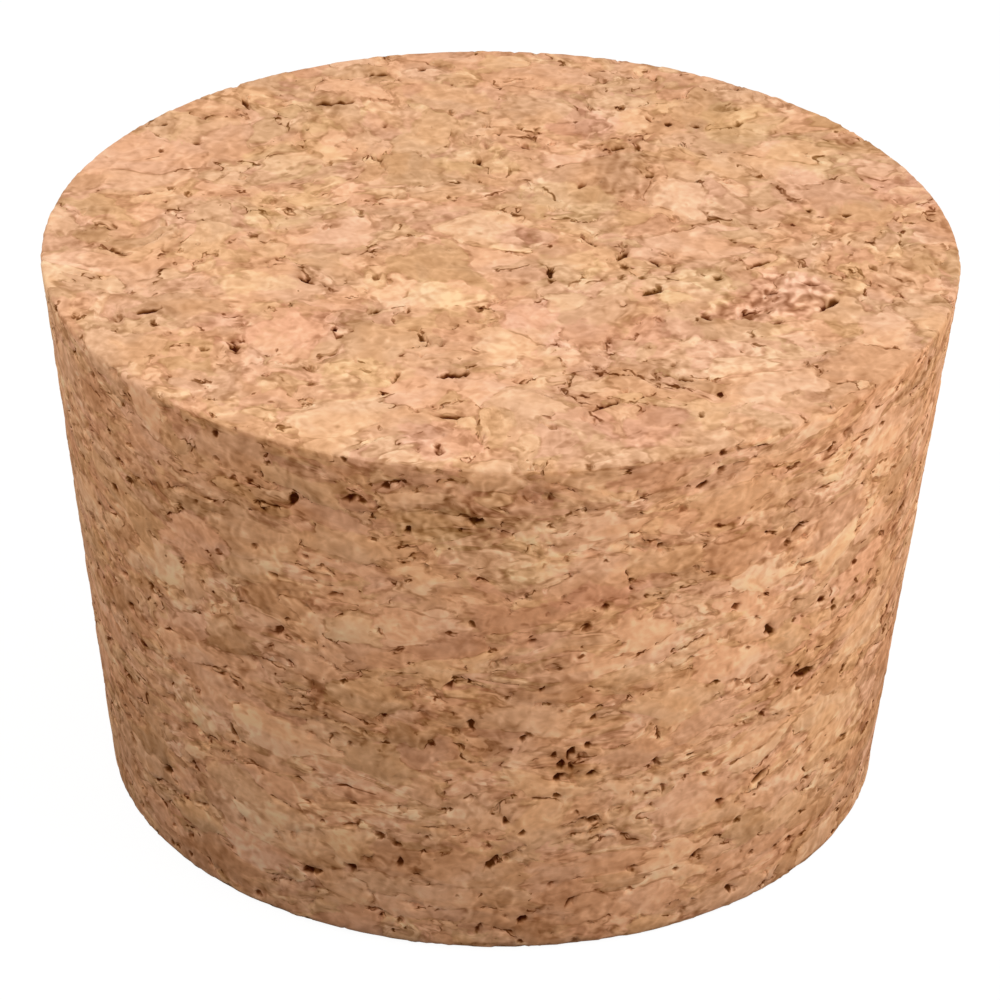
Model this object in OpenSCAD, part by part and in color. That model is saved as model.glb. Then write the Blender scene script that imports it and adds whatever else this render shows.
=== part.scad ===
// Tapered stopper of pressed cork granules, ground to a cone and standing on its narrow face.
// The origin is the centre of the narrow face, and +Z runs up the axis to the wide face.
// An azimuth of 0 faces the front (-Y), and it grows towards the right (+X).

/* [Body] */
// Widest diameter, at the foot of the wide face's eased edge
top_d = 60; // [56:1:90]
// Diameter at the narrow end, at the head of its eased edge
bottom_d = 52; // [36:1:55]
// Height from the narrow face to the wide face
height = 38; // [24:1:60]

/* [Edges] */
// Radius that eases the edge of the wide face
top_edge_r = 0.3; // [0.2:0.1:1.5]
// Radius that eases the edge of the narrow face
bottom_edge_r = 0.6; // [0.3:0.1:1.5]

/* [Gaps between granules] */
// Factor on the length and width of every gap
gap_scale = 1; // [0.6:0.1:1.2]
// Depth of a gap, as a share of its width
gap_depth = 0.9; // [0.4:0.1:1.2]
// How many small gaps are scattered over the flank's far side
flank_specks = 40; // [0:5:60]
// How many small gaps are scattered over the narrow face
face_specks = 24; // [0:2:30]
// Smallest width of a scattered gap
speck_min_w = 0.4; // [0.3:0.05:0.5]
// Largest width of a scattered gap
speck_max_w = 0.8; // [0.6:0.05:1]

/* [Worn rim] */
// Factor on the length of each worn stretch of the top rim
wear_spread = 1; // [0.6:0.1:1.3]
// How far the longest worn stretch cuts into the rim's corner
wear_depth = 0.55; // [0.35:0.05:0.9]

/* [Hidden] */
$fn = 96;
cork = [0.88, 0.67, 0.51];
golden_angle = 137.508;
gap_corners = 8;       // corners in a gap's outline
gap_wobble = 0.17;     // how far a corner strays, as a share of its distance from the middle
gap_headroom = 1;      // how far a gap's cutter stands proud of the surface
face_margin = 0.93;    // share of the face's radius that scattered gaps stay within
flank_margin = 0.06;   // share of the height that they keep from each end
far_side = [75, 285];  // azimuths between which the flank's scattered gaps lie
golden_share = 0.618;  // step between them, as a share of that range
speck_turn = 8;        // how far a scattered gap strays round the axis, in degrees
flank_lean = 60;       // how far one on the flank leans from level, in degrees
seed_flank = 11;
seed_bottom = 37;

// Gaps on the flank's near side: azimuth, share of the height, length, width, lean from level
flank_gaps = [
    // The cluster of pits low on the front
    [10.4, 0.421, 1.2, 0.5, 57],
    [9.2, 0.397, 0.7, 0.5, 65],
    [9, 0.372, 0.9, 0.55, 30],
    [9, 0.332, 0.8, 0.45, -12],
    [10.5, 0.391, 0.7, 0.4, 80],
    [8.2, 0.416, 0.6, 0.35, 60],
    [12.6, 0.433, 0.5, 0.4, 80],
    [11.7, 0.407, 0.6, 0.35, 45],
    [13.2, 0.372, 0.8, 0.4, 15],
    [11.4, 0.374, 0.5, 0.35, 0],
    // To the right of the front
    [4, 0.457, 0.5, 0.4, 30],
    [13.3, 0.491, 0.5, 0.4, 45],
    [2, 0.282, 0.6, 0.4, 75],
    [4.5, 0.255, 0.5, 0.45, 0],
    [13.8, 0.27, 0.6, 0.45, 10],
    [18.7, 0.229, 0.9, 0.4, -20],
    [11.5, 0.1, 1.2, 0.4, 50],
    [4.7, 0.068, 0.6, 0.5, 0],
    [8.6, 0.14, 0.8, 0.35, 20],
    [22.5, 0.376, 0.8, 0.4, -50],
    [23.8, 0.316, 1.2, 0.35, -80],
    [30, 0.15, 1.1, 0.45, 47],
    [27, 0.134, 0.5, 0.4, 0],
    [33.2, 0.253, 0.6, 0.5, 0],
    [40, 0.274, 1.8, 0.5, 29],
    [37, 0.045, 1, 0.5, -50],
    [50.5, 0.21, 0.9, 0.4, -40],
    [46, 0.46, 2.2, 0.6, -13],
    [60, 0.392, 1.6, 0.6, 53],
    [38, 0.59, 1.3, 0.6, -54],
    [32, 0.663, 0.7, 0.5, 20],
    [40.5, 0.782, 1.1, 0.5, 23],
    [39, 0.842, 0.7, 0.5, -40],
    [20.5, 0.826, 0.5, 0.4, 0],
    [25, 0.932, 1, 0.45, 30],
    [17, 0.934, 0.7, 0.35, 80],
    [67, 0.666, 2, 0.8, 0],
    [4.8, 0.655, 0.7, 0.35, 20],
    [6.3, 0.558, 0.6, 0.4, 60],
    // To the left of the front
    [-2.5, 0.897, 1.4, 0.5, 6],
    [-10.5, 0.868, 0.7, 0.5, 80],
    [-17.5, 0.916, 1.4, 0.4, 30],
    [-13, 0.95, 0.5, 0.4, 40],
    [-25, 0.887, 1.4, 0.5, 65],
    [-30, 0.861, 0.6, 0.4, 0],
    [-24, 0.779, 0.5, 0.4, 0],
    [-28.5, 0.726, 0.6, 0.4, 20],
    [-20, 0.716, 1, 0.4, 15],
    [-28.5, 0.613, 1.4, 0.45, 43],
    [-5.5, 0.563, 0.8, 0.4, 50],
    [-2.8, 0.484, 0.8, 0.5, -67],
    [-19, 0.413, 0.7, 0.4, 50],
    [-17, 0.445, 0.6, 0.35, -20],
    [-37.2, 0.36, 1.3, 0.45, -60],
    [-52.5, 0.19, 1.1, 0.6, 33],
    [-45, 0.163, 1.5, 0.4, 20],
    [-37, 0.176, 0.6, 0.4, 40],
    [-26, 0.118, 1.7, 0.6, 12],
    [-19.5, 0.147, 0.8, 0.5, 60],
    [-12.5, 0.174, 1, 0.4, 80],
    [0.3, 0.192, 1.6, 0.5, 47],
    [-8.5, 0.239, 0.5, 0.4, 30],
    [-1.5, 0.047, 0.9, 0.35, 60],
    [-57, 0.5, 1, 0.45, -30],
    [-58, 0.56, 0.9, 0.4, 25],
];
// Gaps on the wide face: shares of the face's radius along X and Y, length, width, lean from +X
top_gaps = [
    // Far half
    [-0.39, 0.7, 2.8, 0.6, 10],
    [-0.29, 0.853, 1.8, 0.5, 15],
    [-0.59, 0.69, 1.7, 0.4, -70],
    [-0.19, 0.887, 0.6, 0.5, 60],
    [-0.773, 0.57, 0.8, 0.5, 60],
    [-0.687, 0.477, 0.6, 0.5, 0],
    [-0.277, 0.417, 0.8, 0.4, -75],
    [-0.053, 0.407, 0.8, 0.5, -75],
    [0.05, 0.493, 1.4, 0.5, -50],
    [-0.01, 0.557, 0.7, 0.35, 85],
    [-0.443, 0.56, 0.8, 0.4, 70],
    [0.257, 0.49, 1, 0.5, 20],
    [0.327, 0.357, 0.8, 0.5, 90],
    [0.377, 0.623, 0.9, 0.5, 80],
    [0.437, 0.613, 1, 0.45, 10],
    [0.333, 0.643, 1, 0.35, -60],
    [0.177, 0.3, 1.2, 0.35, 65],
    [0.76, 0.177, 0.8, 0.45, 50],
    [0.19, 0.03, 2, 0.4, -60],
    // Near half, right
    [0.265, -0.037, 1.5, 0.5, 65],
    [0.335, -0.067, 1.4, 0.5, -45],
    [0.373, -0.1, 1.2, 0.4, 80],
    [0.107, -0.12, 2.2, 0.45, 87],
    [0.327, -0.203, 1.8, 0.6, 40],
    [0.47, -0.133, 0.9, 0.5, 70],
    [0.557, -0.067, 2.2, 0.45, 45],
    [0.667, -0.157, 1.2, 0.5, -30],
    [0.703, -0.25, 2.2, 0.6, 55],
    [0.58, -0.2, 1.2, 0.5, 20],
    [0.44, -0.317, 1.5, 0.45, -60],
    [0.593, -0.333, 0.8, 0.4, 50],
    [0.23, -0.42, 0.8, 0.4, 60],
    [0.38, -0.588, 2.4, 0.5, -23],
    [0.367, -0.53, 0.8, 0.4, 60],
    [0.225, -0.713, 2.4, 0.45, 37],
    [0.197, -0.78, 1.3, 0.35, 85],
    [0.04, -0.62, 0.5, 0.4, 0],
    [0.82, -0.44, 0.7, 0.4, 30],
    // Near half, left
    [-0.09, -0.592, 2.2, 0.6, 20],
    [-0.1, -0.773, 2.4, 0.5, -3],
    [-0.163, -0.433, 1.1, 0.5, -86],
    [-0.213, -0.61, 1.6, 0.35, 75],
    [-0.267, -0.32, 1, 0.4, 30],
    [-0.2, -0.243, 0.8, 0.35, 60],
    [-0.337, -0.05, 0.8, 0.4, 0],
    [-0.48, -0.087, 0.7, 0.35, 80],
    [-0.42, -0.177, 1.8, 0.55, -55],
    [-0.347, -0.397, 0.9, 0.4, 85],
    [-0.743, -0.333, 2, 0.5, 30],
    [-0.617, -0.26, 0.7, 0.35, 50],
    [-0.553, -0.493, 1.8, 0.45, -80],
    [-0.8, -0.56, 0.8, 0.5, -60],
];
// Worn stretches of the top rim: azimuth, length along the rim, share of wear_depth
worn_stretches = [
    [-50, 11, 1],
    [97, 2.6, 0.7],
    [-78, 4, 0.6],
    [158, 6, 0.7],
    [-140, 5, 0.6],
];

// The section's two edge circles, and the line that touches both of them
top_centre = [top_d / 2 - top_edge_r, height - top_edge_r];
bottom_centre = [bottom_d / 2 - bottom_edge_r, bottom_edge_r];
centre_run = top_centre - bottom_centre;
flank_angle = atan2(centre_run[1], centre_run[0]) - acos((bottom_edge_r - top_edge_r) / norm(centre_run));
flank_normal = [cos(flank_angle), sin(flank_angle)];
flank_top = top_centre + top_edge_r * flank_normal;
flank_bottom = bottom_centre + bottom_edge_r * flank_normal;

// Radius of the flank at a height
function flank_r(z) = flank_bottom[0]
    + (flank_top[0] - flank_bottom[0]) * (z - flank_bottom[1]) / (flank_top[1] - flank_bottom[1]);

// A gap's outline: a lens along X, whose corners stray in and out
function gap_outline(length, width, turn) = [
    for (i = [0 : gap_corners - 1])
        let (a = 360 * i / gap_corners, stray = 1 + gap_wobble * sin(turn + golden_angle * i))
            [stray * length / 2 * cos(a), stray * width / 2 * sin(a) * abs(sin(a))]
];

// The space of one gap, cut straight down from the surface at Z = 0
module gap(length, width, lean) {
    l = length * gap_scale;
    w = width * gap_scale;
    rotate([0, 0, lean])
        translate([0, 0, -gap_depth * w])
            linear_extrude(gap_depth * w + gap_headroom)
                polygon(gap_outline(l, w, 360 * (length + width)));
}

// Moves to the flank at that azimuth and height, with X level, Y up the flank and Z outwards
module on_flank(azimuth, z) {
    rotate([0, 0, azimuth])
        translate([0, -flank_r(z), z])
            rotate([90 - flank_angle, 0, 0])
                children();
}

// Moves to that place on the end face at height z, with Z outwards
module on_face(place, z) {
    translate([place[0], place[1], z])
        rotate([z > 0 ? 0 : 180, 0, 0])
            children();
}

// The turned section: level ends, a straight flank and a true arc at each edge
module section() {
    polygon([
        [0, 0],
        [bottom_centre[0], 0],
        bottom_centre,
        flank_bottom,
        flank_top,
        top_centre,
        [top_centre[0], height],
        [0, height],
    ]);
    translate(top_centre) circle(r = top_edge_r);
    translate(bottom_centre) circle(r = bottom_edge_r);
}

module turned_body() {
    rotate_extrude() section();
}

module flank_speck_gaps() {
    jitter = rands(-1, 1, 3 * max(1, flank_specks), seed_flank);
    for (i = [0 : 1 : flank_specks - 1]) {
        share = flank_margin + (1 - 2 * flank_margin) * (i + 0.5) / flank_specks;
        azimuth = far_side[0] + (far_side[1] - far_side[0]) * (golden_share * i - floor(golden_share * i));
        w = speck_min_w + (speck_max_w - speck_min_w) * abs(jitter[3 * i]);
        on_flank(azimuth + speck_turn * jitter[3 * i + 1], share * height)
            gap(w * (1.7 + 0.6 * jitter[3 * i + 2]), w, flank_lean * jitter[3 * i + 1]);
    }
}

module face_speck_gaps() {
    jitter = rands(-1, 1, 3 * max(1, face_specks), seed_bottom);
    for (i = [0 : 1 : face_specks - 1]) {
        share = face_margin * sqrt((i + 0.7) / face_specks);
        w = speck_min_w + (speck_max_w - speck_min_w) * abs(jitter[3 * i]);
        turn = golden_angle * i + speck_turn * jitter[3 * i + 1];
        on_face(share * bottom_centre[0] * [cos(turn), sin(turn)], 0)
            gap(w * (1.7 + 0.6 * jitter[3 * i + 2]), w, 180 * jitter[3 * i + 1]);
    }
}

module listed_gaps() {
    for (g = flank_gaps)
        on_flank(g[0], g[1] * height) gap(g[2], g[3], g[4]);
    for (g = top_gaps)
        on_face([g[0], g[1]] * top_d / 2, height) gap(g[2], g[3], g[4]);
}

// Shallow scallops where handling has worn the top rim's corner away
module rim_wear() {
    for (stretch = worn_stretches) {
        depth = stretch[2] * wear_depth;
        length = stretch[1] * wear_spread;
        bite_r = length * length / (8 * depth) + depth / 2;
        reach = (bite_r - depth) * sin(45);
        rotate([0, 0, stretch[0]])
            translate([0, -(top_d / 2 + reach), height + reach])
                sphere(r = bite_r);
    }
}

module cork_stopper() {
    color(cork)
        difference() {
            turned_body();
            listed_gaps();
            flank_speck_gaps();
            face_speck_gaps();
            rim_wear();
        }
}

cork_stopper();
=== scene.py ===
"""A tapered stopper of pressed cork granules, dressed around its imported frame.

The stopper is one skin. It is laid over the CAD node, so that it takes the node's taper, eased edges,
worn rim and gaps, and then it gets the relief of its granules. The same rule for the granules, in
millimetres, drives the relief in a geometry node tree and the colours in a shader tree, so the two agree.
"""
import math

import bpy
import numpy as np
from mathutils import Matrix, Vector, noise
from mathutils.bvhtree import BVHTree


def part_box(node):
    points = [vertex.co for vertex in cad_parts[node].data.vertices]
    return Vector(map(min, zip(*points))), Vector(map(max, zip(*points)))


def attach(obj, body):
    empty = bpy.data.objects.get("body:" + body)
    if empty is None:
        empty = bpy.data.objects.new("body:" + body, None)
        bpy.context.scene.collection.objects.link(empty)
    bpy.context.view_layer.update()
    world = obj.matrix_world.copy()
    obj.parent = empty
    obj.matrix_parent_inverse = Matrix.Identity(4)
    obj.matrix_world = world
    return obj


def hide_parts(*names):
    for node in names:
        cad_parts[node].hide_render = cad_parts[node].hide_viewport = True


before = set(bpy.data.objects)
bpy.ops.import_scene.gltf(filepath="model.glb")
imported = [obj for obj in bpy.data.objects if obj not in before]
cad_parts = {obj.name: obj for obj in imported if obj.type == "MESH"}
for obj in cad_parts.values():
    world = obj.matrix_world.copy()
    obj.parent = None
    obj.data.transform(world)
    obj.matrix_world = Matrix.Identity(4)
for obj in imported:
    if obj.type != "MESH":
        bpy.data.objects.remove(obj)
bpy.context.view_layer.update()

NODE = "cork_stopper"
MM = 0.001

# ---------------------------------------------------------------- the skin's mesh
DISC_CELLS = 340            # cells along each side of the square that is bent into an end face
RING = 4 * DISC_CELLS       # points around the stopper
FLANK_ROWS = 270            # rows of faces up the flank
EDGE_ROWS = 4               # rows of faces round each eased edge
TOP_EDGE_R = 0.3            # mm, radius of the wide face's eased edge
BOTTOM_EDGE_R = 0.6         # mm, radius of the narrow face's eased edge
PROBE_REACH = 2.5           # mm, how far outside the surface a probe starts
PROBE_HEIGHTS = (0.2, 0.8)  # shares of the height at which the flank is measured
PROBE_COUNT = 90            # probes round the stopper at each of them
PROBE_START = 0.1           # m, how far from the axis they start
UNTOUCHED = 75              # percentile of their radii that no gap lowers
SMOOTHING = 1               # passes that soften the walls of the CAD's gaps
FRAY_SIZE = 0.4             # mm, size of the frays at the edges of the gaps
FRAY_REACH = 0.18           # mm, how far the frays reach
MOST_TRIANGLES = 196000     # what the finished skin may hold
NOISE_SEED = 7              # without one, mathutils' noise differs from run to run

# ---------------------------------------------------------------- granules that stand out, with painted shade and light among those on the flank
# In millimetres and degrees: on the wide face X, Y and radius, and on the flank azimuth, Z and radius.
PALE_ON_TOP = (
    (-16.5, -6, 2.6), (-3.5, -7.5, 2.0), (5.5, -3.5, 2.4), (12.7, -5.8, 2.4), (13, -15.5, 2.8),
    (16.5, -14.5, 2.4), (2, -15.5, 2.6), (14.5, -25.5, 3.0), (-9, -18.5, 2.6), (-8, -26.5, 2.4),
    (3.5, 8.5, 1.8), (-9.5, 19, 2.2), (12, 7, 2.4), (18.5, -10.5, 1.6), (-3, -28.3, 2.2),
    (2.5, -28.6, 2.0), (-13.5, -25.5, 2.0), (-19, -22, 1.8), (-28.2, -4, 2.0), (-27.3, -9.5, 1.8),
    (-25, -14.5, 1.8),
)
DARK_ON_TOP = (
    (8, 13, 2.6), (8, 9, 2.2), (17.5, -6.6, 2.0), (21.7, -7.7, 1.9), (-10, -11.3, 2.2),
    (-12.6, -5, 1.4), (-2.7, -17.7, 1.5), (7, -21.5, 1.5), (7, -17.8, 1.6), (11, -17.5, 1.3),
    (-26.7, 0.5, 2.6), (27.5, -1.5, 3.0), (22.5, 16.5, 2.8), (14.5, 21.5, 2.4), (1.5, 1.2, 1.7),
    (10.2, -2.5, 1.4), (20.5, -4, 1.4), (-22.3, -10, 1.7), (-8.7, 25.6, 1.7), (-12, 21.2, 1.8),
    (0.5, 21, 2.4), (-17, -15.5, 1.6), (14.5, -19, 2.0), (13.3, -10, 1.4),
)
ROSY_ON_TOP = (
    (1.5, -9, 2.6), (5, -13, 2.6), (17, -7, 1.8), (20.3, -5, 1.8), (10, -11.5, 2.6),
    (-12.5, -12, 2.6), (8.5, -24, 3.0), (-2.5, -26, 2.8), (21, 9, 3.4), (27, 9, 3.0),
    (5.5, 18.5, 2.2), (1.3, 1, 2.2), (-17, -12, 2.4),
)
SANDY_ON_TOP = (
    (12.6, -5.5, 3.0), (4.5, -3.3, 2.2), (-16.2, -6, 2.4), (-14.5, 4.8, 3.0), (-4, -7.5, 2.6),
    (-8.5, -18.5, 2.6), (-4, 21.5, 2.8), (-13, 19, 3.0), (16, 19, 3.2), (21, 14, 2.8), (4.5, 7, 3.0),
    (-2, 12.5, 2.6), (-14, 12, 3.2),
)
# Paler granules, and painted light: the large patch at azimuth -78, high on the flank.
PALE_AND_LIT_ON_FLANK = (
    (44, 10, 4.0), (-34, 6, 5.5), (-20, 9.5, 4.5), (-17, 12, 4.0), (32, 24, 5.5), (20, 23.5, 5.0),
    (36, 28, 4.5), (8, 31.5, 4.5), (-40, 23.5, 4.5), (-44, 15, 5.0), (-4, 14.5, 2.6), (-6, 32, 2.6),
    (48, 33, 4.0), (28, 11, 5.5), (-25, 28.5, 3.5), (58, 11, 4.0), (52, 28, 4.0), (-78, 33, 8.0),
    (-58, 38, 2.6),
)
# Darker granules, and painted shade: the large patches on the lower flank at azimuths -80 to -62 and 76 to
# 80, and the row at Z 36 to 38 that darkens the band under the wide face's rim.
DARK_AND_SHADED_ON_FLANK = (
    (-17, 18, 6.0), (-3, 17.5, 3.5), (-42, 29, 6.0), (-4, 34.5, 5.5), (-30, 33, 4.5), (10, 15.5, 1.8),
    (6, 22, 4.0), (-10, 7, 4.0), (-46, 6.5, 3.5), (46, 17.5, 4.5), (30, 29.5, 5.0), (-52, 2.5, 6.0),
    (-60, 18, 5.0), (66, 35, 5.5), (67, 25, 4.0), (70, 12, 4.5), (70, 7, 4.5), (58, 2.5, 5.0),
    (38, 10.5, 2.6), (-26, 4.5, 2.6), (15, 28.5, 3.0), (-38, 20.5, 3.5), (5, 3, 5.0), (-70, 7, 9.0),
    (-62, 2, 7.0), (-14, 36, 6.0), (2, 36.5, 4.0), (-22, 37, 4.0), (-31, 37.8, 4.0), (-39, 38, 3.6),
    (-8, 38, 4.0), (-17, 38.2, 4.0), (10, 38, 3.6), (19, 37.8, 3.2), (-80, 5, 9.0), (80, 6, 8.0),
    (76, 16, 5.0),
)
ROSY_ON_FLANK = ((14, 28, 3.0),)
SANDY_ON_FLANK = ((-6, 33, 4.0), (1, 31, 4.0))
SPECKLED_ON_TOP = ((19, -6.2, 2.8), (15, -8.5, 2.0))
STRIPED_ON_TOP = ((8.3, 13.0, 3.4), (8.5, 9.5, 2.6), (-21, 10, 2.4))
STRIPED_ON_FLANK = ((-4, 33.5, 5.5), (5, 35, 4.0), (-30, 26, 4.0), (66, 22, 4.0))
STRIPES_ACROSS = (0.9, -0.3, 0.6)   # the way across their stripes
STRIPE_WIDTH = 0.8                  # mm, from one stripe to the next
OUTLINED = (6.9, -19.0, 2.6, 2.2)   # X, Y and radii of the wide face's granule with a crack round it
PATCHES = (
    ("pale", PALE_ON_TOP, PALE_AND_LIT_ON_FLANK), ("dark", DARK_ON_TOP, DARK_AND_SHADED_ON_FLANK),
    ("rosy", ROSY_ON_TOP, ROSY_ON_FLANK), ("sandy", SANDY_ON_TOP, SANDY_ON_FLANK),
    ("striped", STRIPED_ON_TOP, STRIPED_ON_FLANK), ("speckled", SPECKLED_ON_TOP, ()),
)
PATCH_WARP = ((2.4, 1.7), (0.8, 0.8))  # mm, sizes and reaches of the noises that fray the patches

# ---------------------------------------------------------------- the granules, in millimetres
FLATNESS = 2.1              # the granules are pressed flat along Z by this factor
GRANULE = 4.3               # width of a large granule
CRUMB = 1.9                 # width of a small one
CRUMBLY_ABOVE = 0.48        # a large granule whose chance is above this is broken into small ones
OUT_OF_REACH = 9.0          # keeps the small granules' borders out of a whole large one
GRANULE_WARP = ((11.0, 7.0, 1.0), (2.7, 4.2, 2.0), (0.8, 1.1, 2.0))  # size, reach and detail of their bends
LAYER_STRETCH = (2.3, 0.55, 0.9)    # how close the growth layers lie along their own three axes
LAYER_TURN = 6.2832         # radians that they are turned by at most
GRAIN_STRETCH = (1.0, 0.68, 1.0)    # the fine grain is drawn out along Y
CURL = (1.5, 1.3)           # size and reach of the bends in it
RING_SIZE = 2.0             # size of the noise whose contours are the growth rings
RING_PHASE = 26.0           # radians of the rings' wave between a noise of 0 and of 1

CRACK_DRIFT = 1.5           # size of the noise that opens cracks
CRACK_OPEN = (0.60, 0.69)   # its values where they start to open and where they are open
CRACK_WIDTH = (0.09, 0.16)  # half width where a crack starts to open, and what it gains
CRACK_HIGHLIGHT = (0.55, 0.2)     # distances from the border where the painted highlight beside a crack starts and where it is full
SPECK_CELL = 1.15           # spacing of the small dark specks
SPECK_BEND = (0.5, 0.55)    # size and reach of the bends in their outlines
SPECK_CROWD = (0.5, 0.0, -0.12, 0.12)   # distances from a border, and what they add to a speck's chance
SPECK_RADII = (0.55, 1.05, 0.01, 0.36)  # chances, and the radii they give
SPECK_EDGE = (1.35, 0.2)    # in radii: where a speck starts and where it is full
SPECK_HIGHLIGHT = (2.3, 1.2)      # in radii: where the painted highlight round a speck starts and where it is full

WIDE_FACE_Z = round(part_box(NODE)[1].z / MM, 3)  # height of the wide face
OUTLINE_FLAT = 0.1          # radii that each mm below the wide face counts for
OUTLINE_WOBBLE = (1.8, 1.5, 0.25)   # size and reach of the noise in its radius, and the least radius
OUTLINE_DRIFT = 1.1         # size of the noise that opens it
OUTLINE_OPEN = (0.38, 0.5)  # its values where it starts to open and where it is open
OUTLINE_WIDTH = (0.11, 0.03)        # in radii: where it starts and where it is full

BASE_DEPTH = 0.09           # how far the skin is pressed in at a border
LEAST_DEPTH = 0.035         # and at least everywhere
GRANULE_RISE = 0.08         # how far a granule may rise from there
BORDER_SLOPE = 0.4          # distance from the border over which it rises
CRACK_DEPTH = 0.24
SPECK_DEPTH = 0.30
LAYER_DEPTH = 0.12
LAYER_MIDDLE = 0.55         # value of the growth layers that leaves the height as it is


class Rule:
    """Adds nodes to a shader tree or a geometry tree. The same calls give the same numbers in both."""

    def __init__(self, tree):
        self.tree = tree

    def node(self, kind, **settings):
        n = self.tree.nodes.new(kind)
        for key, value in settings.items():
            setattr(n, key, value)
        return n

    def put(self, socket, value):
        if isinstance(value, bpy.types.NodeSocket):
            self.tree.links.new(value, socket)
        elif value is not None:
            socket.default_value = value

    def math(self, operation, a, b=None, c=None):
        n = self.node("ShaderNodeMath", operation=operation)
        for socket, value in zip(n.inputs, (a, b, c)):
            self.put(socket, value)
        return n.outputs[0]

    def vector(self, operation, a, b=None):
        n = self.node("ShaderNodeVectorMath", operation=operation)
        if operation == "SCALE":
            self.put(n.inputs[0], a)
            self.put(n.inputs["Scale"], b)
            return n.outputs[0]
        for socket, value in zip(n.inputs, (a, b)):
            self.put(socket, value)
        return n.outputs["Value"] if operation in ("DISTANCE", "LENGTH", "DOT_PRODUCT") else n.outputs[0]

    def parts(self, vector):
        n = self.node("ShaderNodeSeparateXYZ")
        self.put(n.inputs[0], vector)
        return n.outputs

    def ramp(self, value, low, high, to_low=0.0, to_high=1.0, smooth=True):
        """Runs from to_low, where the value is low, to to_high, where it is high."""
        n = self.node("ShaderNodeMapRange", interpolation_type="SMOOTHSTEP" if smooth else "LINEAR")
        for socket, v in zip(n.inputs, (value, low, high, to_low, to_high)):
            self.put(socket, v)
        return n.outputs[0]

    def noise(self, at, size, detail=2.0, roughness=0.5, vector=False):
        n = self.node("ShaderNodeTexNoise")
        self.put(n.inputs["Vector"], at)
        n.inputs["Scale"].default_value = 1 / size
        n.inputs["Detail"].default_value = detail
        n.inputs["Roughness"].default_value = roughness
        return n.outputs[1 if vector else 0]

    def cells(self, at, size, feature="F1"):
        n = self.node("ShaderNodeTexVoronoi", feature=feature)
        self.put(n.inputs["Vector"], at)
        n.inputs["Scale"].default_value = 1 / size
        return n.outputs

    def border(self, at, size):
        """Distance from the border of the cell at a place."""
        return self.math("MULTIPLY", self.cells(at, size, "DISTANCE_TO_EDGE")[0], size)

    def mix(self, factor, a, b, kind="RGBA", blend="MIX"):
        n = self.node("ShaderNodeMix", data_type=kind)
        if kind == "RGBA":
            n.blend_type = blend
        first = {"VECTOR": 4, "RGBA": 6}[kind]
        self.put(n.inputs[0], factor)
        self.put(n.inputs[first], a)
        self.put(n.inputs[first + 1], b)
        return n.outputs[{"VECTOR": 1, "RGBA": 2}[kind]]

    def shaken(self, at, size, reach, detail=1.0):
        """The place, pushed about by up to about half of reach."""
        push = self.vector("SUBTRACT", self.noise(at, size, detail, vector=True), (0.5, 0.5, 0.5))
        return self.vector("ADD", at, self.vector("SCALE", push, reach))


def granule_cells(rule, bent):
    """Random numbers of the granule at a place, and the distance from its border."""
    big = rule.cells(bent, GRANULE)
    big_border = rule.border(bent, GRANULE)
    small = rule.cells(bent, CRUMB)
    small_border = rule.border(bent, CRUMB)
    crumbly = rule.math("GREATER_THAN", rule.parts(big["Color"])[2], CRUMBLY_ABOVE)
    chance = rule.mix(crumbly, big["Color"], small["Color"], "VECTOR")
    apart = rule.math("MULTIPLY_ADD", crumbly, -OUT_OF_REACH, OUT_OF_REACH)
    border = rule.math("MINIMUM", big_border, rule.math("ADD", apart, small_border))
    return chance, border


def growth_layers(rule, bent, chance):
    """Growth layers, turned at random in each granule."""
    spin = rule.node("ShaderNodeVectorRotate", rotation_type="EULER_XYZ")
    rule.put(spin.inputs["Vector"], bent)
    rule.put(spin.inputs["Rotation"], rule.vector("SCALE", chance, LAYER_TURN))
    return rule.noise(rule.vector("MULTIPLY", spin.outputs[0], LAYER_STRETCH), 1.0, 3.0, 0.6)


def border_cracks(rule, bent, border):
    """Cracks that run along borders here and there, and the painted highlights beside them."""
    open_here = rule.ramp(rule.noise(bent, CRACK_DRIFT, 1.0), *CRACK_OPEN)
    closed_width, more = CRACK_WIDTH
    width = rule.math("MULTIPLY_ADD", open_here, more, closed_width)
    crack = rule.math("MULTIPLY", rule.ramp(border, width, 0.0), open_here)
    # painted highlight beside the crack, a brighter band in the colour only
    highlight = rule.math("MULTIPLY", rule.ramp(border, *CRACK_HIGHLIGHT), open_here)
    return crack, highlight


def small_specks(rule, spot, border):
    """Small pits of many sizes, more of them near borders, and the painted highlights round them."""
    cell = rule.cells(spot, SPECK_CELL)
    chance = rule.parts(cell["Color"])[0]
    crowd = rule.ramp(border, *SPECK_CROWD)
    radius = rule.ramp(rule.math("ADD", chance, crowd), *SPECK_RADII, smooth=False)
    away = rule.math("DIVIDE", rule.math("MULTIPLY", cell["Distance"], SPECK_CELL), radius)
    return rule.ramp(away, *SPECK_EDGE), rule.ramp(away, *SPECK_HIGHLIGHT)


def outline_crack(rule, place, spot, bent):
    """The broken crack round the outlined granule on the wide face."""
    x, y, rx, ry = OUTLINED
    squeeze = GRAIN_STRETCH[1]
    middle = rule.vector("SUBTRACT", spot, (x, y * squeeze, WIDE_FACE_Z))
    way = rule.vector("MULTIPLY", middle, (1 / rx, 1 / (ry * squeeze), OUTLINE_FLAT))
    size, reach, least = OUTLINE_WOBBLE
    radius = rule.math("MULTIPLY_ADD", rule.noise(place, size, 1.0), reach, least)
    off = rule.math("ABSOLUTE", rule.math("SUBTRACT", rule.vector("LENGTH", way), radius))
    open_here = rule.ramp(rule.noise(bent, OUTLINE_DRIFT, 1.0), *OUTLINE_OPEN)
    return rule.math("MULTIPLY", rule.ramp(off, *OUTLINE_WIDTH), open_here)


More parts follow.
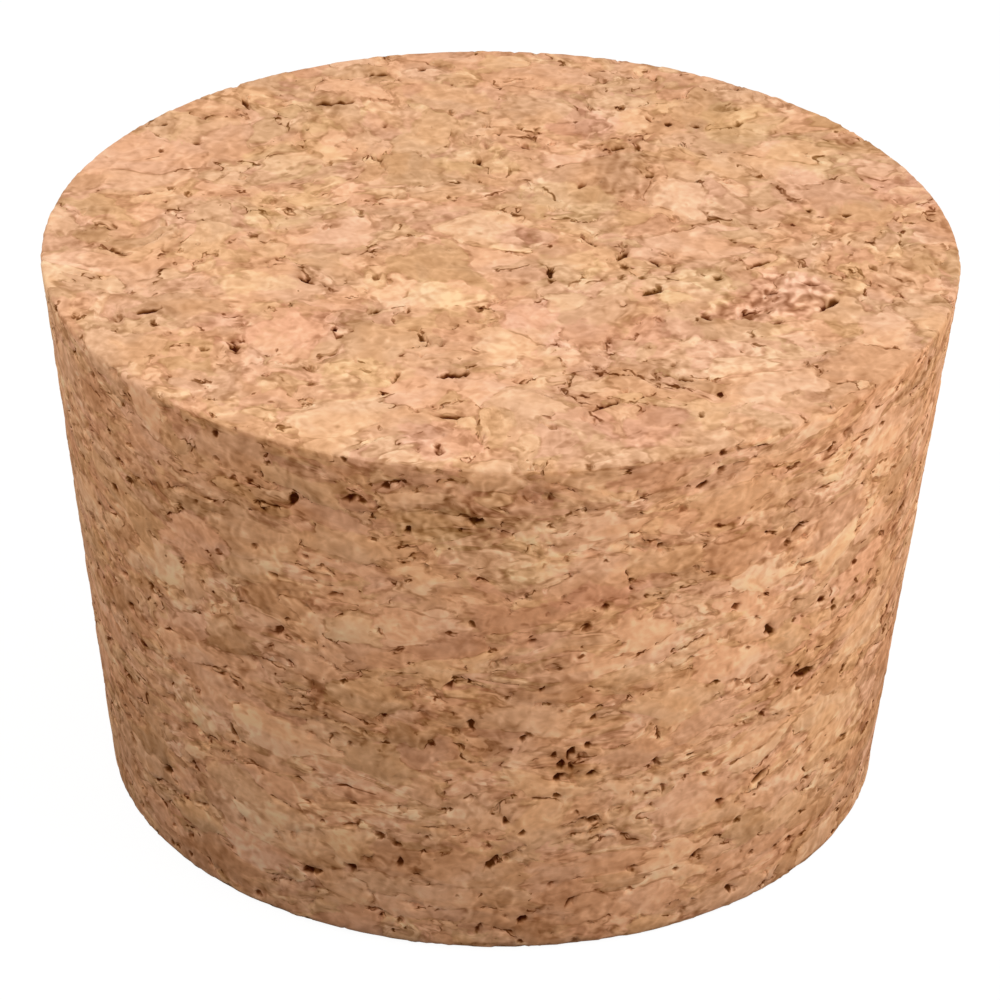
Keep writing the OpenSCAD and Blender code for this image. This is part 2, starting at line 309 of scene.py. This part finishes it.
def granule_rule(rule, place):
    """The granules at a place in millimetres: their chances, borders, layers, rings, cracks and specks."""
    flat = rule.vector("MULTIPLY", place, (1.0, 1.0, FLATNESS))
    bent = flat
    for size, reach, detail in GRANULE_WARP:
        bent = rule.shaken(bent, size, reach, detail)
    chance, border = granule_cells(rule, bent)
    tone, turn, kind = rule.parts(chance)[:3]
    layers = growth_layers(rule, bent, chance)

    # Growth rings are contours of a noise, so short curved strokes that turn every way
    drawn = rule.vector("MULTIPLY", place, GRAIN_STRETCH)
    curly = rule.shaken(drawn, *CURL)
    rings = rule.math("SINE", rule.math("MULTIPLY", rule.noise(curly, RING_SIZE, 1.0), RING_PHASE))

    crack, crack_highlight = border_cracks(rule, bent, border)
    spot = rule.shaken(drawn, *SPECK_BEND, detail=2.0)
    speck, speck_highlight = small_specks(rule, spot, border)
    crack = rule.math("MAXIMUM", crack, outline_crack(rule, place, spot, bent))
    return {"place": place, "flat": flat, "bent": bent, "tone": tone, "turn": turn, "kind": kind,
            "border": border, "layers": layers, "curly": curly, "rings": rings, "crack": crack,
            "crack_highlight": crack_highlight, "speck": speck, "speck_highlight": speck_highlight}


def relief(rule, g):
    """Height of the skin in millimetres, always a little below zero."""
    ground = rule.ramp(g["border"], 0.0, BORDER_SLOPE)
    level = rule.math("MULTIPLY", g["turn"], GRANULE_RISE)
    height = rule.math("MULTIPLY_ADD", ground, level, -BASE_DEPTH)
    height = rule.math("MULTIPLY_ADD", g["crack"], -CRACK_DEPTH, height)
    height = rule.math("MULTIPLY_ADD", g["speck"], -SPECK_DEPTH, height)
    layers = rule.math("SUBTRACT", g["layers"], LAYER_MIDDLE)
    height = rule.math("MULTIPLY_ADD", layers, LAYER_DEPTH, height)
    return rule.math("MINIMUM", height, -LEAST_DEPTH)


# ---------------------------------------------------------------- the stopper's surface
def flank_radii(tree, height):
    """Radii of the untouched flank at PROBE_HEIGHTS, in metres."""
    found = []
    for share in PROBE_HEIGHTS:
        z = share * height
        radii = []
        for i in range(PROBE_COUNT):
            turn = 2 * math.pi * i / PROBE_COUNT
            out = Vector((math.cos(turn), math.sin(turn), 0))
            hit = tree.ray_cast(out * PROBE_START + Vector((0, 0, z)), -out)[0]
            radii.append(math.hypot(hit.x, hit.y))
        found.append(np.percentile(radii, UNTOUCHED))
    return found


def profile(tree):
    """Points and outward normals of the turned section, in metres, from the wide face's rim down."""
    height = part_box(NODE)[1].z
    r_low, r_high = flank_radii(tree, height)
    slope = (r_high - r_low) / ((PROBE_HEIGHTS[1] - PROBE_HEIGHTS[0]) * height)
    lean = math.atan(slope)
    normal = np.array([math.cos(lean), -math.sin(lean)])
    on_line = np.array([r_low, PROBE_HEIGHTS[0] * height])

    def corner(edge_r, z):
        """Centre of the circle that eases an edge: edge_r in from the flank, at height z."""
        return np.array([on_line[0] + slope * (z - on_line[1]) - edge_r / math.cos(lean), z])

    top_r, bottom_r = TOP_EDGE_R * MM, BOTTOM_EDGE_R * MM
    top_c, bottom_c = corner(top_r, height - top_r), corner(bottom_r, bottom_r)
    top_turns = np.linspace(math.pi / 2, -lean, EDGE_ROWS + 1)
    bottom_turns = np.linspace(-lean, -math.pi / 2, EDGE_ROWS + 1)
    points, normals = [], []
    for centre, r, turns in ((top_c, top_r, top_turns), (bottom_c, bottom_r, bottom_turns)):
        for turn in turns:
            n = np.array([math.cos(turn), math.sin(turn)])
            points.append(centre + r * n)
            normals.append(n)
    start, end = points[EDGE_ROWS], points[EDGE_ROWS + 1]
    between = [start + (end - start) * i / FLANK_ROWS for i in range(1, FLANK_ROWS)]
    points[EDGE_ROWS + 1:EDGE_ROWS + 1] = between
    normals[EDGE_ROWS + 1:EDGE_ROWS + 1] = [normal] * len(between)
    return np.array(points), np.array(normals)


def disc_point(i, j):
    """Where the grid's point i, j lands on a disc of radius 1. The square's rings become circles."""
    a, b = 2 * i / DISC_CELLS - 1, 2 * j / DISC_CELLS - 1
    if a == 0 and b == 0:
        return 0.0, 0.0
    if abs(a) > abs(b):
        r, turn = a, math.pi / 4 * b / a
    else:
        r, turn = b, math.pi / 2 - math.pi / 4 * a / b
    return r * math.cos(turn), r * math.sin(turn)


def rim_cells():
    """The square grid's outer points in order, anticlockwise from its lower left corner on the disc."""
    n = DISC_CELLS
    return ([(i, 0) for i in range(n)] + [(n, j) for j in range(n)]
            + [(n - i, n) for i in range(n)] + [(0, n - j) for j in range(n)])


def laid_out(points, normals):
    """Places, outward directions and quads of the whole skin, before anything is cut into it."""
    n = DISC_CELLS
    grid = np.array([disc_point(i, j) for j in range(n + 1) for i in range(n + 1)])
    rim = rim_cells()
    rim_index = np.array([j * (n + 1) + i for i, j in rim])
    rim_xy = grid[rim_index]
    inner = np.ones(len(grid), bool)
    inner[rim_index] = False

    rings = len(points)
    ring_co = np.concatenate([np.column_stack([rim_xy * r, np.full(RING, z)]) for r, z in points])
    ring_no = np.concatenate([np.column_stack([rim_xy * r, np.full(RING, z)]) for r, z in normals])

    faces, places, outs = [], [ring_co], [ring_no]
    for row in range(rings - 1):
        a = row * RING + np.arange(RING)
        b = row * RING + (np.arange(RING) + 1) % RING
        faces.append(np.column_stack([a, a + RING, b + RING, b]))

    count = rings * RING
    corners = [j * (n + 1) + i for j in range(n) for i in range(n)]
    quads = np.array([(c, c + 1, c + n + 2, c + n + 1) for c in corners])
    for row, up in ((0, 1.0), (rings - 1, -1.0)):
        index = np.full(len(grid), -1)
        index[rim_index] = row * RING + np.arange(RING)
        index[inner] = count + np.arange(inner.sum())
        count += inner.sum()
        r, z = points[row]
        places.append(np.column_stack([grid[inner] * r, np.full(inner.sum(), z)]))
        outs.append(np.tile([0.0, 0.0, up], (inner.sum(), 1)))
        faces.append(index[quads] if up > 0 else index[quads][:, ::-1])
    return np.concatenate(places), np.concatenate(outs), np.concatenate(faces)


def depths_below(tree, co, out):
    """How far the CAD node lies below each place, in metres. A sideways shake frays its gaps' edges."""
    reach = PROBE_REACH * MM
    depth = np.zeros(len(co))
    for i in range(len(co)):
        o, at = Vector(out[i]), Vector(co[i])
        shake = noise.noise_vector(at / (FRAY_SIZE * MM)) * (FRAY_REACH * MM)
        shake -= o * o.dot(shake)
        hit = tree.ray_cast(at + shake + o * reach, -o, 2 * reach)
        depth[i] = hit[3] - reach if hit[0] is not None else 0.0
    return depth


def softened(values, faces):
    """The values, averaged with their neighbours'."""
    edges = np.concatenate([faces[:, [0, 1]], faces[:, [1, 2]], faces[:, [2, 3]], faces[:, [3, 0]]])
    for _ in range(SMOOTHING):
        total, count = np.zeros(len(values)), np.zeros(len(values))
        np.add.at(total, edges[:, 0], values[edges[:, 1]])
        np.add.at(total, edges[:, 1], values[edges[:, 0]])
        np.add.at(count, edges[:, 0], 1)
        np.add.at(count, edges[:, 1], 1)
        values = 0.5 * values + 0.5 * total / count
    return values


def patch_field(where, patches, on_top):
    """How far inside the nearest patch each place lies: 1 in its middle, 0 at its edge, less outside."""
    best = np.full(len(where), -1.0)
    for a, b, radius in patches:
        if on_top:
            away = np.hypot(where[:, 0] - a, where[:, 1] - b)
        else:
            turn = math.radians(a)
            from_axis = np.hypot(where[:, 0], where[:, 1])[:, None]
            middle = np.array([math.sin(turn), -math.cos(turn)]) * from_axis
            across = np.hypot(where[:, 0] - middle[:, 0], where[:, 1] - middle[:, 1])
            away = np.hypot(across, (where[:, 2] - b) * FLATNESS)
        best = np.maximum(best, 1 - away / radius)
    return best


def patches(co, out):
    """How far inside the nearest patch of each list every place of the skin lies: granules, and on the
    flank also painted shade and light.
    """
    where = co / MM
    for size, reach in PATCH_WARP:
        where = where + reach * np.array([noise.noise_vector(Vector(p) / size) for p in co / MM])
    top = out[:, 2] > 0.5
    flank = np.abs(out[:, 2]) < 0.5
    fields = {}
    for name, on_top, on_flank in PATCHES:
        field = np.full(len(co), -1.0)
        field[top] = patch_field(where[top], on_top, True)
        field[flank] = patch_field(where[flank], on_flank, False)
        fields[name] = field
    return fields


def relief_tree():
    """Geometry nodes that push each point along its lift by the granules' relief."""
    tree = bpy.data.node_groups.new("granule_relief", "GeometryNodeTree")
    tree.interface.new_socket("Geometry", in_out="INPUT", socket_type="NodeSocketGeometry")
    tree.interface.new_socket("Geometry", in_out="OUTPUT", socket_type="NodeSocketGeometry")
    rule = Rule(tree)
    place = rule.vector("SCALE", rule.node("GeometryNodeInputPosition").outputs[0], 1 / MM)
    lift = rule.node("GeometryNodeInputNamedAttribute", data_type="FLOAT_VECTOR")
    lift.inputs["Name"].default_value = "lift"
    height = rule.math("MULTIPLY", relief(rule, granule_rule(rule, place)), MM)
    push = rule.node("GeometryNodeSetPosition")
    rule.put(push.inputs["Offset"], rule.vector("SCALE", lift.outputs[0], height))
    tree.links.new(rule.node("NodeGroupInput").outputs[0], push.inputs["Geometry"])
    tree.links.new(push.outputs[0], rule.node("NodeGroupOutput").inputs[0])
    return tree


def finished_mesh(obj):
    """The object's mesh with its modifiers applied."""
    bpy.context.view_layer.update()
    evaluated = obj.evaluated_get(bpy.context.evaluated_depsgraph_get())
    return bpy.data.meshes.new_from_object(evaluated)


def make_skin():
    noise.seed_set(NOISE_SEED)
    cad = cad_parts[NODE]
    tree = BVHTree.FromPolygons([v.co for v in cad.data.vertices], [p.vertices for p in cad.data.polygons])
    co, out, faces = laid_out(*profile(tree))
    depth = softened(depths_below(tree, co, out), faces)

    mesh = bpy.data.meshes.new("stopper_skin")
    mesh.from_pydata((co - out * depth[:, None]).tolist(), [], faces.tolist())
    mesh.attributes.new("lift", "FLOAT_VECTOR", "POINT").data.foreach_set("vector", out.ravel())
    mesh.attributes.new("gap", "FLOAT", "POINT").data.foreach_set("value", depth / MM)
    mesh.attributes.new("flank", "FLOAT", "POINT").data.foreach_set("value", 1 - np.abs(out[:, 2]))
    for name, field in patches(co, out).items():
        mesh.attributes.new(name, "FLOAT", "POINT").data.foreach_set("value", field)
    obj = bpy.data.objects.new("stopper_skin", mesh)
    bpy.context.scene.collection.objects.link(obj)
    obj.modifiers.new("relief", "NODES").node_group = relief_tree()
    thin = obj.modifiers.new("thin", "DECIMATE")
    thin.ratio = MOST_TRIANGLES / (2 * len(faces))
    obj.data = finished_mesh(obj)
    obj.modifiers.clear()
    obj.data.name = "stopper_skin"
    obj.data.shade_smooth()
    bpy.data.meshes.remove(mesh)
    return obj


# ---------------------------------------------------------------- materials
def srgb(r, g, b):
    """A colour written as 0 to 255 in the usual screen values, as the linear values that a shader takes."""
    def linear(v):
        v /= 255
        return v / 12.92 if v <= 0.04045 else ((v + 0.055) / 1.055) ** 2.4
    return (linear(r), linear(g), linear(b), 1.0)


PLAIN_CORK = (225, 176, 140)
TONE_LEVELS = (-150, -110, -80, -55, -30, 0, 20, 45)  # brightness about plain cork, in screen levels
DARKEST, BRIGHTEST = 4, 255             # screen levels that no tone goes beyond
ROSY, SANDY = (1, -5, -1), (-1, 4, -4)  # how far a granule's colour leans, in screen levels
LEAN_ENDS = (-0.3, 1.3)                 # leans of a fully rosy and a fully sandy granule
ROSY_LEAN, SPECKLED_LEAN, SANDY_LEAN = -0.6, -0.8, 0.6  # what the placed granules add to their lean
# Painted shade: the flank is made browner, the deeper colour that the shaded flank shows.
FLANK_TINT = (1.01, 0.965, 0.93, 1.0)
FLANK_FADE = (0.3, 0.9)                 # the flank's share of a place, where its look starts and is full
WARM_TINT = (1.02, 0.965, 0.88, 1.0)    # of the more orange stretches
WARM_SIZE = 4.5                         # size of the noise that brings them out
WARM_ENDS = (0.35, 0.65)                # its values where they start and are full

# Strengths of the cork's patterns in screen levels. A ramp's four numbers are the two values that it runs
# between, and the strengths there.
TONE_SPREAD = 33.0
LAYER_RAMP = (0.2, 1.0, 25.0, 70.0)     # growth layers, by the granule's kind
RING_RAMP = (0.45, 0.70, 1.0, 13.0)     # growth rings, by a slow noise
GRAIN_RAMP = (0.1, 0.8, 20.0, 66.0)     # fine grain, by the granule's kind
SEAM_RAMP = (0.04, 0.36, -34.0, 0.0)    # dark seams, by the distance from the border
# painted shade: the solid's gaps are darkened by their depth
GAP_RAMP = (0.06, 0.34, 0.0, -120.0)    # insides of the solid's gaps, by their depth
GAP_ROUGH = 0.45                        # how far the fine grain frays them
RING_DRIFT, SEAM_DRIFT = 2.2, 1.3       # sizes of the noises that bring rings and seams out
SEAM_OPEN = (0.42, 0.62)
INSIDE = (0.0, 0.35)                    # distances from the border where tone starts and is full
GRAIN_SIZE, FLECK_SIZE, CLOUD_SIZE = 0.6, 0.8, 6.0
FLECK_BEND = (1.6, 1.6)
FLECKS, CLOUDS = 60.0, 14.0
CRACK_LEVEL, SPECK_LEVEL = -95.0, -105.0
# painted highlights beside the cracks and round the specks
CRACK_HIGHLIGHT_LEVEL, SPECK_HIGHLIGHT_LEVEL = 11.0, 8.0
# on the flank the pale and dark levels also paint light and shade
PALE_LEVEL, DARK_LEVEL, SPECKLED_LEVEL = 12.0, -12.0, -8.0
PALE_GRAIN, SPECKLED_GRAIN, DARK_RINGS = 32.0, 230.0, 6.0  # what the placed granules add to their patterns
STRIPE_LEVEL, STRIPED_LEVEL = 10.0, -9.0    # the stripes' swing, and what they darken by
PATCH_FRAY, PATCH_EDGE = 0.5, 0.2       # how the placed granules' edges are frayed, and how soft they are
FLANK_GAIN = 0.17                       # how much stronger it all is on the flank
BRIGHTEN = 6.0                          # added to it all

SPECULAR = 0.05
ROUGHNESS_RAMP = (0.3, 0.7, 0.75, 0.95)
BUMP_STRENGTH, BUMP_DEPTH = 0.35, 0.08  # its depth in mm


def tone_ramp(rule, level, shift):
    """Cork's colour at a brightness level. Its channels rise and fall together on the screen's scale."""
    ramp = rule.node("ShaderNodeValToRGB")
    low, high = TONE_LEVELS[0], TONE_LEVELS[-1]
    while len(ramp.color_ramp.elements) < len(TONE_LEVELS):
        ramp.color_ramp.elements.new(0.5)
    for element, step in zip(ramp.color_ramp.elements, TONE_LEVELS):
        element.position = (step - low) / (high - low)
        channels = (base + step + s for base, s in zip(PLAIN_CORK, shift))
        element.color = srgb(*(max(DARKEST, min(BRIGHTEST, c)) for c in channels))
    rule.put(ramp.inputs[0], rule.ramp(level, low, high, smooth=False))
    return ramp.outputs[0]


def scaled(rule, value, strength):
    return rule.math("MULTIPLY", value, strength)


def about(rule, value, reach, middle=0.5):
    """A noise about its middle, times reach."""
    return scaled(rule, rule.math("SUBTRACT", value, middle), reach)


def total(rule, values):
    out = values[0]
    for v in values[1:]:
        out = rule.math("ADD", out, v)
    return out


def patch(rule, name, fine, strength=1.0):
    """The strength inside the patches of that name, with frayed edges, and 0 outside them."""
    field = rule.node("ShaderNodeAttribute", attribute_name=name).outputs["Fac"]
    frayed = rule.math("ADD", field, about(rule, fine, PATCH_FRAY))
    return rule.ramp(frayed, 0.0, PATCH_EDGE, 0.0, strength)


def cork_level(rule, g, flank, gap):
    """Brightness of the cork about its plain colour, in screen levels, and the fine grain."""
    layer_strength = rule.ramp(g["kind"], *LAYER_RAMP)
    layers = scaled(rule, rule.math("SUBTRACT", g["layers"], 0.5), layer_strength)
    ring_here = rule.ramp(rule.noise(g["flat"], RING_DRIFT, 2.0), *RING_RAMP)
    fine = rule.noise(g["curly"], GRAIN_SIZE, 0.5, 0.5)
    flecks = rule.noise(rule.shaken(g["place"], *FLECK_BEND), FLECK_SIZE, 1.0, 0.6)
    here = rule.ramp(rule.noise(g["flat"], SEAM_DRIFT, 2.0), *SEAM_OPEN)
    seam = scaled(rule, rule.ramp(g["border"], *SEAM_RAMP), here)
    # On the flank some dark and pale patches are painted shade and painted light, not granules.
    pale, dark = patch(rule, "pale", fine), patch(rule, "dark", fine)
    across = rule.vector("DOT_PRODUCT", g["curly"], STRIPES_ACROSS)
    stripes = rule.math("SINE", scaled(rule, across, 2 * math.pi / STRIPE_WIDTH))
    inside = rule.ramp(g["border"], *INSIDE)
    speckled = patch(rule, "speckled", fine)
    fine_strength = total(rule, [rule.ramp(g["kind"], *GRAIN_RAMP), scaled(rule, pale, PALE_GRAIN),
                                 scaled(rule, speckled, SPECKLED_GRAIN)])
    level = total(rule, [
        scaled(rule, rule.math("ADD", about(rule, g["tone"], TONE_SPREAD), layers), inside),
        scaled(rule, rule.math("MULTIPLY_ADD", stripes, STRIPE_LEVEL, STRIPED_LEVEL),
               patch(rule, "striped", fine)),
        scaled(rule, pale, PALE_LEVEL),
        scaled(rule, dark, DARK_LEVEL),
        scaled(rule, speckled, SPECKLED_LEVEL),
        scaled(rule, g["rings"], rule.math("MULTIPLY_ADD", dark, DARK_RINGS, ring_here)),
        scaled(rule, about(rule, fine, 1.0), fine_strength),
        about(rule, flecks, FLECKS),
        about(rule, rule.noise(g["flat"], CLOUD_SIZE, 1.0), CLOUDS),
        seam,
        # painted highlights beside the cracks and round the specks
        scaled(rule, g["crack_highlight"], CRACK_HIGHLIGHT_LEVEL),
        scaled(rule, g["speck_highlight"], SPECK_HIGHLIGHT_LEVEL),
        scaled(rule, g["crack"], CRACK_LEVEL),
        scaled(rule, g["speck"], SPECK_LEVEL),
    ])
    gain = rule.math("MULTIPLY_ADD", flank, FLANK_GAIN, 1.0)
    level = rule.math("ADD", scaled(rule, level, gain), BRIGHTEN)
    # painted shade in the solid's gaps, darker by depth and frayed by the fine grain
    rough_gap = rule.math("ADD", gap, about(rule, fine, GAP_ROUGH))
    return rule.math("ADD", level, rule.ramp(rough_gap, *GAP_RAMP)), fine


def cork_colour(rule, g, level, fine, flank):
    """Rosier or sandier from granule to granule, browner on the flank as painted shade, and more orange in
    stretches.
    """
    placed = (("rosy", ROSY_LEAN), ("speckled", SPECKLED_LEAN), ("sandy", SANDY_LEAN))
    lean = total(rule, [g["turn"]] + [patch(rule, name, fine, strength) for name, strength in placed])
    lean = rule.ramp(lean, *LEAN_ENDS, smooth=False)
    colour = rule.mix(lean, tone_ramp(rule, level, ROSY), tone_ramp(rule, level, SANDY))
    # painted shade: the flank's browner colour
    tinted = rule.mix(1.0, colour, FLANK_TINT, blend="MULTIPLY")
    colour = rule.mix(flank, colour, tinted)
    warmer = rule.mix(1.0, colour, WARM_TINT, blend="MULTIPLY")
    return rule.mix(rule.ramp(rule.noise(g["bent"], WARM_SIZE, 1.0), *WARM_ENDS), colour, warmer)


def cork_material():
    mat = bpy.data.materials.new("pressed_cork")
    mat.use_nodes = True
    tree = mat.node_tree
    tree.nodes.clear()
    rule = Rule(tree)
    place = rule.vector("SCALE", rule.node("ShaderNodeTexCoord").outputs["Object"], 1 / MM)
    g = granule_rule(rule, place)
    flank = rule.node("ShaderNodeAttribute", attribute_name="flank").outputs["Fac"]
    flank = rule.ramp(flank, *FLANK_FADE)
    gap = rule.node("ShaderNodeAttribute", attribute_name="gap").outputs["Fac"]
    level, fine = cork_level(rule, g, flank, gap)

    colour = cork_colour(rule, g, level, fine, flank)
    bsdf = rule.node("ShaderNodeBsdfPrincipled")
    rule.put(bsdf.inputs["Base Color"], colour)
    bsdf.inputs["Specular IOR Level"].default_value = SPECULAR
    rule.put(bsdf.inputs["Roughness"], rule.ramp(fine, *ROUGHNESS_RAMP))
    bump = rule.node("ShaderNodeBump")
    bump.inputs["Strength"].default_value = BUMP_STRENGTH
    bump.inputs["Distance"].default_value = BUMP_DEPTH * MM
    rule.put(bump.inputs["Height"], fine)
    rule.put(bsdf.inputs["Normal"], bump.outputs[0])
    tree.links.new(bsdf.outputs[0], rule.node("ShaderNodeOutputMaterial").inputs[0])
    return mat


# ---------------------------------------------------------------- floor, world, lamps and camera
FLOOR_HALF = 1.5                          # m, half the floor's side
FLOOR_SEEN = (0.08, 0.08, 0.08, 1.0)      # how much of its light the floor shows, and so of its shadow
FLOOR_GLOW = 0.955                        # what it adds to show as white
NEAR_BOUNCE = (0.08, 0.075, 0.07, 1.0)    # what it throws back onto the stopper from close by
FAR_BOUNCE = (0.84, 0.78, 0.71, 1.0)      # and from further out
BOUNCE_REACH = (0.045, 0.14)              # m, distances where the one starts and ends giving way
BOUNCE_MIDDLE = (-0.06, 0.0, 0.0)         # m, place on the floor that they are counted from
WORLD_COLOUR = (1.0, 0.94, 0.885)
WORLD_LIGHT = 0.68


def seen_directly(rule):
    """1 for camera, glossy and transmission rays, and 0 for the rest."""
    path = rule.node("ShaderNodeLightPath").outputs
    seen = rule.math("MAXIMUM", path["Is Camera Ray"], path["Is Glossy Ray"])
    return rule.math("MAXIMUM", seen, path["Is Transmission Ray"])


def floor_material():
    """White where it is seen, with the stopper's shadow kept, and greyer where it throws light back."""
    mat = bpy.data.materials.new("floor")
    mat.use_nodes = True
    tree = mat.node_tree
    tree.nodes.clear()
    rule = Rule(tree)
    bounce = rule.node("ShaderNodeBsdfDiffuse")
    place = rule.node("ShaderNodeTexCoord").outputs["Object"]
    far = rule.ramp(rule.vector("DISTANCE", place, BOUNCE_MIDDLE), *BOUNCE_REACH)
    rule.put(bounce.inputs["Color"], rule.mix(far, NEAR_BOUNCE, FAR_BOUNCE))
    shown = rule.node("ShaderNodeBsdfDiffuse")
    shown.inputs["Color"].default_value = FLOOR_SEEN
    glow = rule.node("ShaderNodeEmission")
    glow.inputs["Strength"].default_value = FLOOR_GLOW
    both = rule.node("ShaderNodeAddShader")
    tree.links.new(shown.outputs[0], both.inputs[0])
    tree.links.new(glow.outputs[0], both.inputs[1])
    pick = rule.node("ShaderNodeMixShader")
    tree.links.new(seen_directly(rule), pick.inputs[0])
    tree.links.new(bounce.outputs[0], pick.inputs[1])
    tree.links.new(both.outputs[0], pick.inputs[2])
    tree.links.new(pick.outputs[0], rule.node("ShaderNodeOutputMaterial").inputs[0])
    return mat


def make_world():
    world = bpy.data.worlds.new("studio")
    bpy.context.scene.world = world
    world.use_nodes = True
    tree = world.node_tree
    tree.nodes.clear()
    rule = Rule(tree)
    light = tuple(c * WORLD_LIGHT for c in WORLD_COLOUR)
    sky = rule.node("ShaderNodeBackground")
    rule.put(sky.inputs["Color"], rule.mix(seen_directly(rule), (*light, 1.0), (1.0, 1.0, 1.0, 1.0)))
    tree.links.new(sky.outputs[0], rule.node("ShaderNodeOutputWorld").inputs[0])


def make_floor():
    half = FLOOR_HALF
    mesh = bpy.data.meshes.new("floor")
    corners = [(-half, -half, 0), (half, -half, 0), (half, half, 0), (-half, half, 0)]
    mesh.from_pydata(corners, [], [(0, 1, 2, 3)])
    floor = bpy.data.objects.new("floor", mesh)
    bpy.context.scene.collection.objects.link(floor)
    mesh.materials.append(floor_material())


# name, azimuth and elevation of where it stands, distance and size in m, share of full light, colour
LAMPS = (
    ("key", 64, 48, 0.35, 0.26, 0.365, (1.0, 1.04, 1.08)),
    ("fill", -88, 35, 0.12, 0.06, 0.12, (1.0, 1.0, 1.0)),
)


def direction(azimuth, elevation):
    """Unit vector towards an azimuth, counted from the front (-Y) to the right (+X), and an elevation."""
    a, e = math.radians(azimuth), math.radians(elevation)
    return Vector((math.sin(a) * math.cos(e), -math.cos(a) * math.cos(e), math.sin(e)))


def make_lamps(aim):
    """Each lamp's share is how bright it alone shows a white sheet that faces it."""
    for name, azimuth, elevation, distance, size, share, colour in LAMPS:
        light = bpy.data.lights.new(name, "AREA")
        light.shape = "DISK"
        light.size = size
        light.energy = share * (math.pi * distance) ** 2
        light.color = colour
        lamp = bpy.data.objects.new(name, light)
        bpy.context.scene.collection.objects.link(lamp)
        towards = direction(azimuth, elevation)
        lamp.location = aim + towards * distance
        lamp.visible_camera = False
        lamp.rotation_euler = towards.to_track_quat("Z", "Y").to_euler()


# The view that the photograph was taken from, by a camera fitted to the stopper's outline
VIEW_DISTANCE = 0.360       # m, from the stopper's middle
VIEW_ELEVATION = 29.76      # degrees above the horizon
VIEW_ROLL = 1.068           # degrees that the camera's right side is raised
VIEW_FOCAL = 5.3731         # focal length, as a share of the picture's width
AIM_PIXEL = (496.34, 496.35)  # where the stopper's middle shows, in a picture of 1000 by 1000
PICTURE = 1000              # pixels
SENSOR = 36.0               # mm
CLIP = (0.01, 10)           # m


def make_camera(aim):
    data = bpy.data.cameras.new("camera")
    data.sensor_width = SENSOR
    data.lens = VIEW_FOCAL * SENSOR
    data.shift_x = 0.5 - AIM_PIXEL[0] / PICTURE
    data.shift_y = AIM_PIXEL[1] / PICTURE - 0.5
    data.clip_start, data.clip_end = CLIP
    camera = bpy.data.objects.new("camera", data)
    bpy.context.scene.collection.objects.link(camera)
    towards = direction(0, VIEW_ELEVATION)
    place = Matrix.Translation(aim + towards * VIEW_DISTANCE)
    turn = towards.to_track_quat("Z", "Y").to_matrix().to_4x4()
    camera.matrix_world = place @ turn @ Matrix.Rotation(math.radians(VIEW_ROLL), 4, "Z")
    bpy.context.scene.camera = camera


def main():
    low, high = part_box(NODE)
    middle = (low + high) / 2
    make_camera(middle)
    make_world()
    make_floor()
    make_lamps(middle)
    skin = make_skin()
    skin.data.materials.clear()
    skin.data.materials.append(cork_material())
    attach(skin, "root")
    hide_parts(NODE)
    view = bpy.context.scene.view_settings
    view.view_transform = "Standard"


main()
